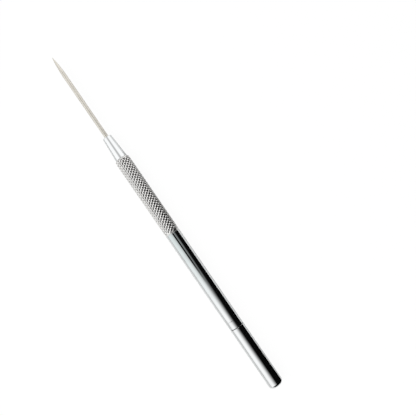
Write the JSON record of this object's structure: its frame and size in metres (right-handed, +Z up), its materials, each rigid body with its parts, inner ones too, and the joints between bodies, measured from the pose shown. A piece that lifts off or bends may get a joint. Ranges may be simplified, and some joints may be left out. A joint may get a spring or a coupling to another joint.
{
  "type": "pottery needle tool",
  "caption": "Long metal needle tool for clay: a pointed steel needle in a collet nose, a diamond-knurled grip, a smooth hollow barrel and a screw cap.",
  "frame": {"origin": "on the surface that the tool lies on, below the middle of its length", "axes": "+X along the tool towards the needle's point, +Z up, +Y to its left"},
  "size_m": [0.2074, 0.0082, 0.0083],
  "materials": {
    "needle_steel": "satin",
    "polished_plate": "polished",
    "knurled_plate": "satin",
    "brass": "satin",
    "seal_rubber": "matte"
  },
  "bodies": {
    "handle": {"knurled_grip": "knurled_plate", "barrel_tube": "polished_plate", "threaded_bush": "brass"},
    "collet": {"collet": "brass"},
    "nose_cone": {"nose_cone": "polished_plate"},
    "needle": {"needle": "needle_steel"},
    "cap_seal": {"cap_seal": "seal_rubber"},
    "end_cap": {"end_cap": "polished_plate"}
  },
  "joints": [
    {"name": "nose_travel", "type": "slide", "parent": "handle", "child": "collet", "axis": [1, 0, 0], "range_m": [0, 0.0055]},
    {"name": "nose_turn", "type": "hinge", "parent": "collet", "child": "nose_cone", "pos_m": [0.03973, 0, 0.00417], "axis": [1, 0, 0], "range_deg": [0, 3960]},
    {"name": "needle_slide", "type": "slide", "parent": "collet", "child": "needle", "axis": [1, 0, 0], "range_m": [-0.04, 0.012]},
    {"name": "cap_travel", "type": "slide", "parent": "handle", "child": "cap_seal", "axis": [-1, 0, 0], "range_m": [0, 0.006]},
    {"name": "cap_turn", "type": "hinge", "parent": "cap_seal", "child": "end_cap", "pos_m": [-0.06678, 0, 0.00417], "axis": [-1, 0, 0], "range_deg": [0, 4320]}
  ],
  "couplings": [
    {"joint": "nose_turn", "follows": "nose_travel", "rad_per_m": 12566},
    {"joint": "cap_turn", "follows": "cap_travel", "rad_per_m": 12566}
  ]
}
